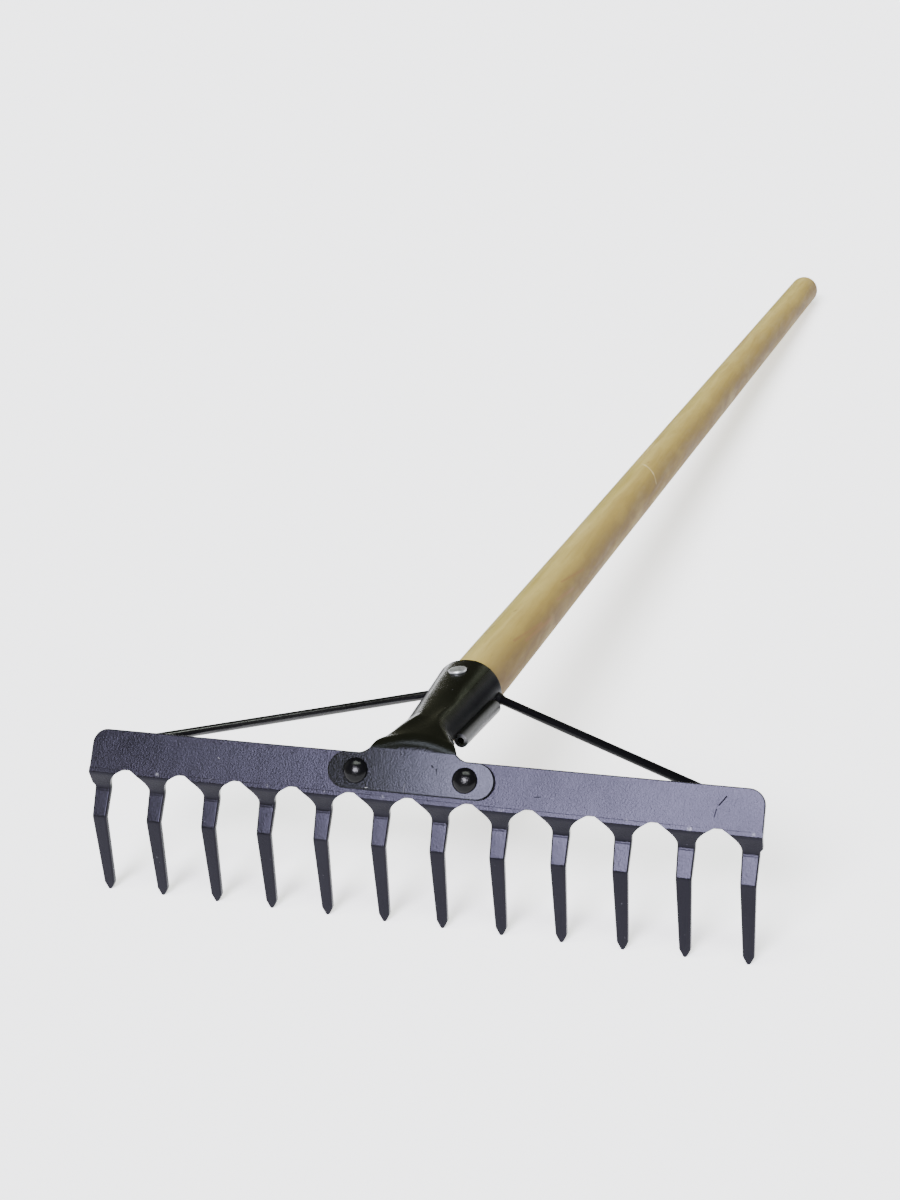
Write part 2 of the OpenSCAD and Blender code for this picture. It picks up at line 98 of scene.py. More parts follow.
class Shape:
    """Points and faces that are gathered, welded and turned into one object."""

    def __init__(self):
        self.points, self.faces = [], []

    def add(self, points, faces):
        n = len(self.points)
        self.points += [tuple(p) for p in points]
        self.faces += [tuple(n + i for i in f) for f in faces]

    def skin(self, rings, start=True, end=True):
        """Faces between closed rings, with lids at the ends that are asked for."""
        n = len(rings[0])
        pts = [p for r in rings for p in r]
        faces = []
        for i in range(len(rings) - 1):
            for j in range(n):
                k = (j + 1) % n
                faces.append((i * n + j, (i + 1) * n + j, (i + 1) * n + k, i * n + k))
        last = (len(rings) - 1) * n
        for j in range(n // 2 - 1):
            if start:
                faces.append((j, j + 1, n - 2 - j, n - 1 - j))
            if end:
                faces.append((last + j, last + n - 1 - j, last + n - 2 - j, last + j + 1))
        self.add(pts, faces)

    def object(self, name, mat, sharp=50, weld=0.004):
        mesh = bpy.data.meshes.new(name)
        mesh.from_pydata([row(p) for p in self.points], [], self.faces)
        bm = bmesh.new()
        bm.from_mesh(mesh)
        bmesh.ops.remove_doubles(bm, verts=bm.verts, dist=weld / 1000)
        bmesh.ops.dissolve_degenerate(bm, edges=bm.edges, dist=1e-7)
        bmesh.ops.recalc_face_normals(bm, faces=bm.faces)
        bm.to_mesh(mesh)
        bm.free()
        mesh.polygons.foreach_set("use_smooth", [True] * len(mesh.polygons))
        mesh.set_sharp_from_angle(angle=math.radians(sharp))
        obj = bpy.data.objects.new(name, mesh)
        bpy.context.scene.collection.objects.link(obj)
        mesh.materials.append(mat)
        w = obj.modifiers.new("normals", "WEIGHTED_NORMAL")
        w.keep_sharp = True
        w.weight = 60
        return obj


def stand_for(obj, node):
    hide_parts(node)
    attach(obj, "root")


# Marks on the surfaces: two points, width and shade. Where the shade is MATTE, the paint is dull black;
# elsewhere the mark is paler and rougher: worn paint, except the stripe along the barrel's right rolled
# edge, which is a painted reflection. On the wood the points are given along the handle's axis: beside
# it, above it and from the mouth, and each mark has a colour and a share.

MATTE, MATTE_ROUGH, PALE_MARK_ROUGH = 0.0, 0.8, 0.3
DARK, RED_BROWN, CREAM = (0.06, 0.04, 0.02), (0.19, 0.10, 0.045), (0.62, 0.52, 0.30)
WOOD_MARKS = (((-6.4, 12.6, 56), (-5.2, 13, 62), 1.6, DARK, 0.9),
              ((-6.0, 12.7, 50), (-6.6, 12.4, 53), 1.3, DARK, 0.8),
              ((-0.6, 14, 84), (-0.2, 14, 87), 1.5, DARK, 0.8),
              ((-9, 10.7, 417), (2, 13.9, 407), 2.2, CREAM, 0.55),
              ((2, 13.9, 407), (9.5, 10.3, 399), 2.6, CREAM, 0.7),
              ((9.5, 10.3, 399), (13, 5.2, 392), 2.0, CREAM, 0.4),
              ((2.5, 13.8, 414), (3, 13.7, 417), 1.8, RED_BROWN, 0.7),
              ((9.5, 10.6, 48), (13, 6, 92), 2.2, RED_BROWN, 0.8),
              ((12.5, 6.8, 60), (14, 3, 110), 3.0, RED_BROWN, 0.7),
              ((9, 11, 150), (12.5, 6.6, 190), 2.0, RED_BROWN, 0.7),
              ((12, 7.5, 128), (13.6, 4.2, 160), 2.6, RED_BROWN, 0.75))
COMB_MARKS = (((147.5, 0, 14.5), (144.5, 0, 10.5), 0.8, MATTE),
              ((143.5, 0, 8.5), (142.8, 0, 5), 0.6, MATTE),
              ((-97, 0, 10), (-97.8, 0, 10.3), 0.5, 0.15),
              ((60, 0, 6), (63, 0, 6.4), 0.6, MATTE))
BASE_MARKS = (((-2.2, -SHEET, 2.2), (-1.8, -SHEET, 6.2), 0.4, 0.05),
              ((10, -SHEET, 16), (10.8, -SHEET, 15), 0.8, MATTE),
              ((12.5, -SHEET, 14.5), (13, -SHEET, 13), 0.6, MATTE),
              ((-21, -SHEET, 2.8), (-20, -SHEET, 2.9), 0.5, 0.2))
# The first barrel mark, a pale stripe along the right rolled edge, is a painted reflection.
BARREL_MARKS = ((barrel_point(16.8, 0.6, -62), barrel_point(20.2, 0.6, -18), 6.0, 0.12),
                (barrel_point(12.5, 7, -70), barrel_point(15, 7, -3), 15.0, MATTE),
                (barrel_point(-13.2, 7.5, -62), barrel_point(-14.8, 9, -3), 13.0, MATTE))


# Materials


class Nodes:
    """Short calls for building a material's node tree."""

    def __init__(self, name):
        self.mat = bpy.data.materials.new(name)
        self.mat.use_nodes = True
        self.bsdf = self.mat.node_tree.nodes["Principled BSDF"]
        self.start(self.mat.node_tree, "Object")

    @classmethod
    def on(cls, tree, coords):
        n = cls.__new__(cls)
        n.start(tree, coords)
        return n

    def start(self, tree, coords):
        self.tree = tree
        self.coords = tree.nodes.new("ShaderNodeTexCoord").outputs[coords]

    def node(self, kind, **values):
        n = self.tree.nodes.new("ShaderNode" + kind)
        for key, value in values.items():
            if hasattr(n, key):
                setattr(n, key, value)
        return n

    def link(self, a, b):
        self.tree.links.new(a, b)

    def feed(self, socket, value):
        if hasattr(value, "links"):
            self.link(value, socket)
        else:
            socket.default_value = value

    def mapped(self, scale, rot):
        m = self.node("Mapping")
        self.link(self.coords, m.inputs["Vector"])
        m.inputs["Scale"].default_value = scale
        m.inputs["Rotation"].default_value = rot
        return m.outputs["Vector"]

    def noise(self, scale, detail=3, rough=0.5, vector=None, distort=0):
        n = self.node("TexNoise")
        n.inputs["Scale"].default_value = scale
        n.inputs["Detail"].default_value = detail
        n.inputs["Roughness"].default_value = rough
        n.inputs["Distortion"].default_value = distort
        self.link(vector or self.coords, n.inputs["Vector"])
        return n.outputs["Fac"]

    def remap(self, value, a, b, c=0.0, d=1.0):
        m = self.node("MapRange")
        m.clamp = True
        for key, v in zip(("Value", "From Min", "From Max", "To Min", "To Max"), (value, a, b, c, d)):
            self.feed(m.inputs[key], v)
        return m.outputs["Result"]

    def math(self, op, a, b=0.0):
        m = self.node("Math", operation=op)
        self.feed(m.inputs[0], a)
        self.feed(m.inputs[1], b)
        return m.outputs[0]

    def blend(self, fac, a, b):
        m = self.node("Mix", data_type="RGBA")
        self.feed(m.inputs["Factor"], fac)
        for key, v in ((6, a), (7, b)):
            self.feed(m.inputs[key], v if hasattr(v, "links") else (*v, 1))
        return m.outputs[2]

    def scaled(self, color, value):
        m = self.node("VectorMath", operation="SCALE")
        self.feed(m.inputs[0], color)
        self.feed(m.inputs["Scale"], value)
        return m.outputs[0]

    def plus(self, a, b):
        m = self.node("VectorMath", operation="ADD")
        self.link(a, m.inputs[0])
        self.link(b, m.inputs[1])
        return m.outputs[0]

    def lobe(self, aim, inner, outer, power):
        """Round patch of light about the direction aim, full within inner degrees, none past outer."""
        dot = self.node("VectorMath", operation="DOT_PRODUCT")
        self.link(self.coords, dot.inputs[0])
        dot.inputs[1].default_value = Vector(aim).normalized()
        return self.remap(dot.outputs["Value"], math.cos(math.radians(outer)),
                          math.cos(math.radians(inner)), 0.0, power)

    def ramp(self, value, stops):
        r = self.node("ValToRGB")
        e = r.color_ramp.elements
        while len(e) < len(stops):
            e.new(0.5)
        for el, (pos, col) in zip(e, stops):
            el.position = pos
            el.color = (*col, 1)
        self.link(value, r.inputs["Fac"])
        return r.outputs["Color"]

    def bump(self, height, strength, distance, normal=None):
        b = self.node("Bump")
        b.inputs["Strength"].default_value = strength
        b.inputs["Distance"].default_value = distance
        self.link(height, b.inputs["Height"])
        if normal:
            self.link(normal, b.inputs["Normal"])
        return b.outputs["Normal"]

    def swell(self, centre, radius, height, normal):
        """Slight dome of the sheet about centre, in millimetres."""
        far = self.node("VectorMath", operation="DISTANCE")
        self.link(self.coords, far.inputs[0])
        far.inputs[1].default_value = row(centre)
        share = self.remap(far.outputs["Value"], 0.0, radius / 1000, 0.0, 1.0)
        rise = self.math("SUBTRACT", 1.0, self.math("MULTIPLY", share, share))
        return self.bump(self.math("MULTIPLY", rise, rise), 1.0, height / 1000, normal)

    def stroke(self, a, b, width):
        """Mask of a short line from a to b, in millimetres of the plate frame."""
        a, b = row(a), row(b)
        away = self.node("VectorMath", operation="SUBTRACT")
        self.link(self.coords, away.inputs[0])
        away.inputs[1].default_value = a
        along = self.node("VectorMath", operation="DOT_PRODUCT")
        self.link(away.outputs[0], along.inputs[0])
        along.inputs[1].default_value = (b - a) / (b - a).length_squared
        share = self.remap(along.outputs["Value"], 0.0, 1.0)
        gap = self.node("VectorMath", operation="DISTANCE")
        self.link(away.outputs[0], gap.inputs[0])
        self.link(self.scaled(b - a, share), gap.inputs[1])
        return self.remap(gap.outputs["Value"], width / 2000, 0.0)

    def axes(self):
        s = self.node("SeparateXYZ")
        self.link(self.coords, s.inputs["Vector"])
        return s.outputs

    def set(self, **values):
        for key, value in values.items():
            self.feed(self.bsdf.inputs[key.replace("_", " ")], value)


# The pale spots at the arches' corners, partly painted highlight and partly worn paint: their colour and half
# size.
DUST, GLINT_AND_CHIP, GLINT_AND_CHIP_HALF = (0.05, 0.05, 0.055), (0.16, 0.16, 0.17), (0.0016, 0.0013)
PEEL_DEPTH = 0.00007


def paint(name, color, rough, peel=0.25, tint=(1, 1, 1), spec=0.5, swell=None, marks=(), glints_and_chips=None,
          grain=1100):
    """Stoved black paint on pressed steel: orange peel, small specks, worn and dusty patches, the marks it is
    given, one of them a painted reflection, and pale spots that are partly painted highlight.
    """
    n = Nodes(name)
    patches = n.noise(22, 4, 0.6)
    fine = n.noise(900, 2, 0.6)
    specks = n.remap(n.noise(380, 3, 0.7), 0.70, 0.78)
    base = n.blend(n.remap(patches, 0.42, 0.72), color, tuple(c * 1.5 for c in color))
    base = n.blend(specks, base, DUST)
    r = n.math("ADD", n.remap(patches, 0.35, 0.7, rough - 0.04, rough + 0.06),
               n.math("MULTIPLY", n.math("SUBTRACT", fine, 0.5), 0.12))
    # A mark that is not matte is paler and rougher: worn paint, and on the right rolled edge a painted
    # reflection.
    for a, b, width, shade in marks:
        line = n.stroke(a, b, width)
        base = n.blend(line, base, (shade,) * 3)
        r = n.math("ADD", r, n.math("MULTIPLY", line, MATTE_ROUGH if shade == MATTE else PALE_MARK_ROUGH))
    # Pale spots that are partly painted highlight and partly worn paint.
    if glints_and_chips:
        base = n.blend(glints_and_chips(n), base, GLINT_AND_CHIP)
    n.set(Base_Color=base, Roughness=n.math("ADD", r, n.math("MULTIPLY", specks, 0.2)))
    h = n.bump(n.noise(60, 2, 0.5), 0.25, 0.0006)
    if swell:
        h = n.swell(*swell, h)
    n.set(Normal=n.bump(n.noise(grain, 3, 0.65), peel, PEEL_DEPTH, h))
    n.bsdf.inputs["Specular IOR Level"].default_value = spec
    n.bsdf.inputs["Specular Tint"].default_value = (*tint, 1)
    return n.mat


# Colours across the handle, from one side through the middle to the other: painted light and shade, lightest
# in the middle.
WOOD_LIGHT_AND_SHADE_COLOURS = ((0.0, (0.21, 0.185, 0.042)), (0.3, (0.29, 0.235, 0.062)), (0.5, (0.37, 0.295, 0.095)),
                (0.74, (0.27, 0.20, 0.056)), (1.0, (0.12, 0.075, 0.03)))


def wood():
    """Pale turned wood, bare, with painted light and shade across it: lightest along the middle, darker olive
    on one side and darker brown on the other; with long soft streaks, a pale ring, a few pores and short
    cracks."""
    n = Nodes("pale_wood")
    tilt = SOCKET_A - FLOOR_ANGLE
    along = n.mapped(scale=(1, 0.05, 1), rot=(-tilt, 0, 0))
    slow = n.mapped(scale=(1, 0.3, 1), rot=(-tilt, 0, 0))
    grain = n.noise(300, 4, 0.6, along, 0.6)
    streaks = n.noise(110, 3, 0.55, along, 0.8)
    mottle = n.noise(34, 4, 0.62, slow)
    pores = n.noise(1500, 2, 0.5, along)
    # Painted light and shade across the handle: the colour follows the place across it, darker at both sides.
    side = n.math("ADD", n.axes()["X"], n.math("MULTIPLY", n.math("SUBTRACT", mottle, 0.5), 0.016))
    col = n.ramp(n.remap(side, -HANDLE_R / 1000, HANDLE_R / 1000), WOOD_LIGHT_AND_SHADE_COLOURS)
    col = n.blend(n.remap(mottle, 0.5, 0.72, 0, 0.4), col, (0.43, 0.35, 0.135))
    col = n.blend(n.remap(streaks, 0.52, 0.72, 0, 0.5), col, (0.2, 0.13, 0.034))
    col = n.blend(n.remap(grain, 0.5, 0.75, 0, 0.35), col, (0.2, 0.145, 0.04))
    col = n.blend(n.remap(pores, 0.62, 0.75, 0, 0.3), col, (0.17, 0.11, 0.04))
    for a, b, width, color, share in WOOD_MARKS:
        line = n.math("MULTIPLY", n.stroke(barrel_point(*a), barrel_point(*b), width), share)
        col = n.blend(line, col, color)
    n.set(Base_Color=col, Roughness=n.remap(grain, 0.3, 0.7, 0.5, 0.66))
    n.set(Normal=n.bump(grain, 0.25, 0.0003, n.bump(mottle, 0.15, 0.001)))
    n.bsdf.inputs["Specular IOR Level"].default_value = 0.05
    return n.mat


def zinc():
    n = Nodes("zinc_plating")
    fine = n.noise(900, 3, 0.6)
    spangle = n.noise(420, 2, 0.5)
    n.set(Base_Color=n.ramp(spangle, [(0.35, (0.33, 0.34, 0.36)), (0.65, (0.55, 0.56, 0.57))]),
          Metallic=0.85, Roughness=n.remap(fine, 0.3, 0.7, 0.26, 0.45))
    n.set(Normal=n.bump(fine, 0.3, 0.0001))
    return n.mat


# Comb


def arc(corner, a, b, steps):
    """Points and leaning angles of the front face through one bend."""
    turn = b - a
    reach, side = BEND_R * math.tan(abs(turn) / 2), 1 if turn > 0 else -1
    start = (corner[0] - reach * math.sin(a), corner[1] + reach * math.cos(a))
    centre = (start[0] + side * BEND_R * math.cos(a), start[1] + side * BEND_R * math.sin(a))
    out = []
    for i in range(steps + 1):
        q = a + turn * i / steps
        out.append((centre[0] - side * BEND_R * math.cos(q), centre[1] - side * BEND_R * math.sin(q), q))
    return out


def between(a, b, steps):
    return [tuple(mix(a[k], b[k], i / steps) for k in range(3)) for i in range(1, steps)]


B1 = (0.0, -BEND_R * math.tan(FLARE_A / 2))
B2 = (B1[0] + (FLARE_DROP + B1[1]) * math.tan(FLARE_A), -FLARE_DROP)
B3 = (B2[0] + UPRIGHT * math.sin(UPRIGHT_A), B2[1] - UPRIGHT * math.cos(UPRIGHT_A))


def down(length):
    return (B3[0] + length * math.sin(TINE_A), B3[1] - length * math.cos(TINE_A), TINE_A)


def crease(p):
    """The shallow groove that the stamping leaves just under the second bend."""
    out = []
    for below, depth in ((0.5, 0.0), (0.85, CREASE_DEPTH), (1.2, 0.0)):
        out.append((p[0] + below * math.sin(UPRIGHT_A) + depth, p[1] - below * math.cos(UPRIGHT_A),
                    UPRIGHT_A))
    return out


def tooth_path():
    one, two, three = (arc(*bend, 10) for bend in ((B1, 0, FLARE_A), (B2, FLARE_A, UPRIGHT_A),
                                                   (B3, UPRIGHT_A, TINE_A)))
    groove, neck = crease(two[-1]), down(TINE - POINT)
    return (one + between(one[-1], two[0], 8) + two + groove + between(groove[-1], three[0], 5)
            + three + between(three[-1], neck, 8) + [neck])


# The end teeth keep the plate's straight side down to this share of the flare, and then step in
STEP_AT, STEP_LONG = 0.8, 0.2


def tooth_half(z, end):
    """Half width of a tooth at the height z, on its outer side if it is an end tooth."""
    if z > -FLARE_DROP:
        if end:
            u = (-z / FLARE_DROP - STEP_AT) / STEP_LONG
            return END_MARGIN if u < 0 else mix(END_MARGIN, W_TOP / 2, smooth(u))
        spread = (PITCH - ARCH_FLAT - W_TOP) / 2
        return W_TOP / 2 + spread * (1 - math.sin(math.pi / 2 * min(1, max(0, -z / FLARE_DROP))))
    if z > B3[1]:
        return mix(W_TOP, W_BEND, (B2[1] - z) / (B2[1] - B3[1])) / 2
    return mix(W_BEND, W_LOW, (B3[1] - z) / (B3[1] - down(TINE - POINT)[1])) / 2


def root_lag(y, z, share):
    """How far the flare stays forward beside the arches, where the sheet bends lower down."""
    if z > -0.01 or z < -FLARE_DROP:
        return 0.0
    fade = 1 - smooth((-z - LAG_FADE) / (FLARE_DROP - LAG_FADE))
    return min(y, ROOT_LAG * min(1, abs(share)) ** 3 * math.tan(FLARE_A) * fade)


def tooth_ring(y, z, a, left, right, front, back, x0):
    def at(x, depth):
        lag = root_lag(y, z, x / (right if x > 0 else left))
        return (x0 + x, y - lag + depth * math.cos(a), z + depth * math.sin(a))

    def corner(x, side, r, depth, way):
        return [at(x - side * r * (1 - math.sin(q)), depth + way * r * (1 - math.cos(q)))
                for q in quarter(4)]
    rf = corner(right, 1, front, 0, 1)
    rb = corner(right, 1, back, COMB_T, -1)
    lf = corner(-left, -1, front, 0, 1)
    lb = corner(-left, -1, back, COMB_T, -1)
    return rb + rf[::-1] + lf + lb[::-1]


# Sections of the blunt point: share of its length that is still ahead, width, and front rounding
POINT_RINGS = ((0.5, mix(W_LOW, W_POINT, 0.46), 0.9), (0.12, W_POINT * 1.15, 0.6),
               (0, W_POINT * 0.72, 0.45))


def tooth(shape, x0, first, last):
    rings = []
    for y, z, a in tooth_path():
        g = smooth(-z / FLARE_DROP * 1.3)
        rings.append(tooth_ring(y, z, a, tooth_half(z, first), tooth_half(z, last),
                                EDGE_ROUND * g, BACK_ROUND * g, x0))
    for ahead, w, r in POINT_RINGS:
        y, z, a = down(TINE - POINT * ahead)
        rings.append(tooth_ring(y, z, a, w / 2, w / 2, r, POINT_BACK_ROUND, x0))
    shape.skin(rings, start=False)


def plate_inset(x, z, d):
    """The rim point x, z drawn in by d towards the middle of the plate."""
    side = COMB_HALF - PLATE_R
    cx, cz = min(side, max(-side, x)), min(PLATE_H - PLATE_R, z)
    v = Vector((x - cx, z - cz))
    return (x, z) if v.length < 1e-6 else (x - d * v.x / v.length, z - d * v.y / v.length)


def plate(shape):
    """The flat plate above the arches; its rim is rounded, and its lower edge meets the teeth."""
    half, r, c = COMB_HALF, PLATE_R, PLATE_ROUND
    rim = [(half, 0.0)] + [(half - r + r * math.cos(q), PLATE_H - r + r * math.sin(q)) for q in quarter(12)]
    rim += [(-x, z) for x, z in reversed(rim)]
    feet = []
    for i in range(TEETH):
        x0 = (i - (TEETH - 1) / 2) * PITCH
        feet += [x0 - tooth_half(0, i == 0), x0 + tooth_half(0, i == TEETH - 1)]
    rounding = [(c * (1 - math.sin(q)), c * (1 - math.cos(q))) for q in quarter(4)]
    levels = rounding + [(d, COMB_T - y) for d, y in reversed(rounding)]
    pts, n = [], len(rim)
    for d, y in levels:
        for x, z in rim:
            u, w = plate_inset(x, z, d)
            pts.append((u, y, w))
    faces = [(i * n + j, (i + 1) * n + j, (i + 1) * n + j + 1, i * n + j + 1)
             for i in range(len(levels) - 1) for j in range(n - 1)]
    shape.add(pts, faces)
    for y in (0, COMB_T):
        top = [plate_inset(x, z, c) for x, z in rim]
        loop = [(x, y, z) for x, z in top] + [(x, y, 0.0) for x in feet[1:-1][::-1]]
        shape.add(loop[::-1] if y else loop, [tuple(range(len(loop)))])
    for a, b in zip(feet[1:-1:2], feet[2:-1:2]):
        shape.add([(a, 0, 0), (a, COMB_T, 0), (b, COMB_T, 0), (b, 0, 0)], [(0, 1, 2, 3)])


def arch_glints_and_chips(n):
    """Pale spots at the corners of the arches: partly painted highlight where the sheet bends, partly worn
    paint.
    """
    x, half = n.axes()["X"], TEETH / 2 * PITCH
    step = n.math("FLOORED_MODULO", n.math("ADD", x, half / 1000), PITCH / 1000)
    away = n.math("SUBTRACT", step, (PITCH + ARCH_FLAT) / 2000)
    beside = n.math("DIVIDE", away, GLINT_AND_CHIP_HALF[0])
    root = row((0, 1.0, -0.4))
    over = n.math("DIVIDE", n.math("SUBTRACT", n.axes()["Z"], root.z), GLINT_AND_CHIP_HALF[1])
    far = n.math("ADD", n.math("MULTIPLY", beside, beside), n.math("MULTIPLY", over, over))
    spot = n.remap(far, 1.0, 0.1)
    return n.math("MULTIPLY", spot, n.remap(n.noise(260, 3, 0.7), 0.52, 0.68, 0.0, 0.7))


def comb():
    s = Shape()
    plate(s)
    for i in range(TEETH):
        tooth(s, (i - (TEETH - 1) / 2) * PITCH, i == 0, i == TEETH - 1)
    mat = paint("comb_paint", (0.004, 0.0038, 0.0045), 0.2, peel=1.4, tint=(0.72, 0.70, 1.0), spec=0.13,
                marks=COMB_MARKS, glints_and_chips=arch_glints_and_chips)
    stand_for(s.object("comb_steel", mat), "comb")


# Socket


FOLD_CORNER = (-SHEET, FOLD_Z)
TAPER = (MOUTH_R - BARREL_END_R) / BARREL_LEN
BARREL_END = MOUTH + BARREL_END_R * UP - BARREL_LEN * AXIS
TOP_A = math.atan2(BARREL_END.z - FOLD_CORNER[1], BARREL_END.y - FOLD_CORNER[0])
FOLD_TURN = math.pi / 2 - TOP_A
FOLD_REACH = FOLD_R * math.tan(FOLD_TURN / 2)
FOLD_START_Z = FOLD_Z - FOLD_REACH
JOIN_Z = FOLD_START_Z - 0.3
FILLET_X, FILLET_Z = NECK_HALF + NECK_FILLET, BASE_LIFT + BASE_H + NECK_FILLET
JOIN_HALF = FILLET_X - math.sqrt(NECK_FILLET ** 2 - (FILLET_Z - JOIN_Z) ** 2)
FOLD_END = Vector((0, FOLD_CORNER[0] + FOLD_REACH * math.cos(TOP_A),
                   FOLD_CORNER[1] + FOLD_REACH * math.sin(TOP_A))) - MOUTH
FOLD_END_T, FOLD_END_N = FOLD_END.dot(AXIS), FOLD_END.dot(UP)
# Straight length at the free edges of the neck and the barrel
FLANK = 0.5
SECTION_STEPS, EDGE_STEPS, FOLD_STEPS, NECK_STEPS = 28, 6, 12, 52

# The neck: half width, radius and turn of its edges at the fold, and camber of its crown there
NECK_W, EDGE_R, EDGE_TURN, CAMBER = 17.7, 4.0, math.radians(32), 1 / 90
CROWN = NECK_W - EDGE_R * math.sin(EDGE_TURN) - FLANK * math.cos(EDGE_TURN)
# The wall that grows at the neck's right, down to the rolled edge
RIGHT_WALL = 4.1
# A hollow runs up the neck into the barrel's top like a spoon: its half widths at the fold, where it
# is narrowest and where it is widest, the latter's place, and its end, from the mouth
SPOON_W, SPOON_WIDE_T, SPOON_END_T = (14.0, 4.0, 8.0), -42.0, -33.0
# The left side of the barrel swells a little and hides its rolled edge, which is tucked in and down
LEFT_SWELL, LEFT_DROP, LEFT_TUCK = 1.5, 2.7, 0.4
# Sections of the plain barrel, and of the tabs' upper corners: place past the start, straight edge
BARREL_AT, TAB_CORNER = (-32, -26, -TAB_LEN - 1), ((0, 1.4), (1, 2.8), (2, TAB_DROP))
# The softened rim of the mouth, along the axis and inwards
MOUTH_SOFT, MOUTH_INSET = 0.5, 0.25


def barrel_r(t):
    return MOUTH_R + t * TAPER


# How far the crown lies below the barrel's cone at the fold
HOLLOW = barrel_r(FOLD_END_T) - FOLD_END_N


def half_section(crown, r, edge, flank):
    """Outer side of the sheet from the crown's middle: flat, round and straight again."""
    out, length = [], crown + r * edge
    for i in range(SECTION_STEPS + 1):
        s = length * i / SECTION_STEPS
        a = max(0, s - crown) / r
        out.append((min(s, crown) + r * math.sin(a), r * (1 - math.cos(a)), a))
    out.append((crown + r * math.sin(edge) + flank * math.cos(edge),
                r * (1 - math.cos(edge)) + flank * math.sin(edge), edge))
    return out


def sheet_half(outer, hollow, width, camber):
    """Outer side, rounded edge and inner side of the sheet, on one side of the crown."""
    outer = [(x, d + camber * x * x, a) for x, d, a in outer]
    out = [(x, d + hollow * max(0, 1 - (x / width) ** 2)) for x, d, a in outer]
    inn = [(x - SHEET * math.sin(a), d + SHEET * math.cos(a)) for x, d, a in outer]
    (x, d), a, r = out[-1], outer[-1][2], SHEET / 2
    tip = []
    for i in range(EDGE_STEPS + 1):
        q = math.pi * i / EDGE_STEPS
        k, ext = r * (1 - math.cos(q)), r * (math.sin(q) - 1)
        tip.append((x - k * math.sin(a) + ext * math.cos(a), d + k * math.cos(a) + ext * math.sin(a)))
    return out[:-1] + tip + inn[:-1][::-1]


def shell_ring(top, lean, outer, left=None, hollow=0, width=1, swell=0, camber=0):
    def at(x, depth):
        return (x, top[0] + depth * math.sin(lean), top[1] - depth * math.cos(lean))
    right = sheet_half(outer, hollow, width, camber)
    left = [(-x - swell * smooth(x / 8), y) for x, y in sheet_half(left or outer, hollow, width, camber)]
    half = len(right) // 2
    ring = left[:half + 1][::-1] + right[1:half + 1] + right[half + 1:] + left[half + 1:-1][::-1]
    return [at(x, y) for x, y in ring]


def crown_point(n, t):
    p = barrel_point(0, n, t)
    return p.y, p.z


def spoon_width(t, v):
    if v < 1:
        return mix(SPOON_W[1], SPOON_W[0], (1 - v) ** 1.6)
    if t < SPOON_WIDE_T:
        return mix(SPOON_W[1], SPOON_W[2], smooth((t + BARREL_LEN) / (SPOON_WIDE_T + BARREL_LEN)))
    close = min(1, (t - SPOON_WIDE_T) / (SPOON_END_T - SPOON_WIDE_T))
    return max(0.5, SPOON_W[2] * math.sqrt(1 - close ** 2))


def neck_ring(t, lean):
    """Section of the neck or the barrel: the flat crown narrows and its edges roll down to the full
    half round, with the hollow in its top."""
    v = min(1, (t - FOLD_END_T) / (-BARREL_LEN - FOLD_END_T))
    k = smooth(v)
    fade = 1 - smooth((t + BARREL_LEN) / (SPOON_END_T + BARREL_LEN))

    def half(narrowing, turn, flank):
        return half_section(CROWN * (1 - v) ** narrowing, mix(EDGE_R, barrel_r(t), v),
                            mix(EDGE_TURN, math.pi / 2, min(1, turn * v)), flank)
    left = half(1.2, 1.7, mix(FLANK, LEFT_DROP, k))
    right = half(1.5, 1.0, FLANK + RIGHT_WALL * 4 * v * (1 - v))
    return shell_ring(crown_point(barrel_r(t) - HOLLOW * (1 - k), t), lean, right, left,
                      HOLLOW * k * fade, spoon_width(t, v), LEFT_SWELL * k, CAMBER * (1 - k))


def barrel_ring(t, flank, inset=0.0):
    def half(drop):
        return half_section(0, barrel_r(t) - inset, math.pi / 2, drop)
    return shell_ring(crown_point(barrel_r(t) - inset, t), SOCKET_A, half(flank), half(max(flank, LEFT_DROP)),
                      swell=LEFT_SWELL)


def socket_rings():
    """Sections of the socket's sheet: the fold above the base, the neck, the barrel and its tabs."""
    rings = [shell_ring((-SHEET, JOIN_Z), math.pi / 2, half_section(JOIN_HALF - FLANK, EDGE_R, 0, FLANK))]
    cy, cz = FOLD_CORNER[0] + FOLD_R, FOLD_START_Z
    for i in range(FOLD_STEPS + 1):
        u = i / FOLD_STEPS
        a = math.pi / 2 - FOLD_TURN * u
        rings.append(shell_ring((cy - FOLD_R * math.sin(a), cz + FOLD_R * math.cos(a)), a,
                                half_section(mix(JOIN_HALF - FLANK, CROWN, u), EDGE_R, EDGE_TURN * u, FLANK),
                                camber=CAMBER * u))
    for i in range(1, NECK_STEPS + 1):
        t = mix(FOLD_END_T, SPOON_END_T, i / NECK_STEPS)
        u = (t - FOLD_END_T) / (-BARREL_LEN - FOLD_END_T)
        rings.append(neck_ring(t, mix(TOP_A, SOCKET_A, smooth(u))))
    rings += [barrel_ring(t, FLANK) for t in BARREL_AT]
    rings += [barrel_ring(t - TAB_LEN, f) for t, f in TAB_CORNER]
    return rings + [barrel_ring(-MOUTH_SOFT, TAB_DROP), barrel_ring(0, TAB_DROP, MOUTH_INSET)]


def base_outline():
    r, half = BASE_H / 2, BASE_LEN / 2 - BASE_H / 2
    zc = BASE_LIFT + r
    turns = [-math.pi / 2 + math.pi * i / 24 for i in range(25)]
    right = [(0.0, BASE_LIFT)] + [(half + r * math.cos(q), zc + r * math.sin(q)) for q in turns]
    start = math.pi * 1.5
    end = math.pi + math.asin((FILLET_Z - JOIN_Z) / NECK_FILLET)
    right += [(FILLET_X + NECK_FILLET * math.cos(q), FILLET_Z + NECK_FILLET * math.sin(q))
              for q in [mix(start, end, i / 10) for i in range(11)]]
    return right + [(-x, z) for x, z in reversed(right[1:])]


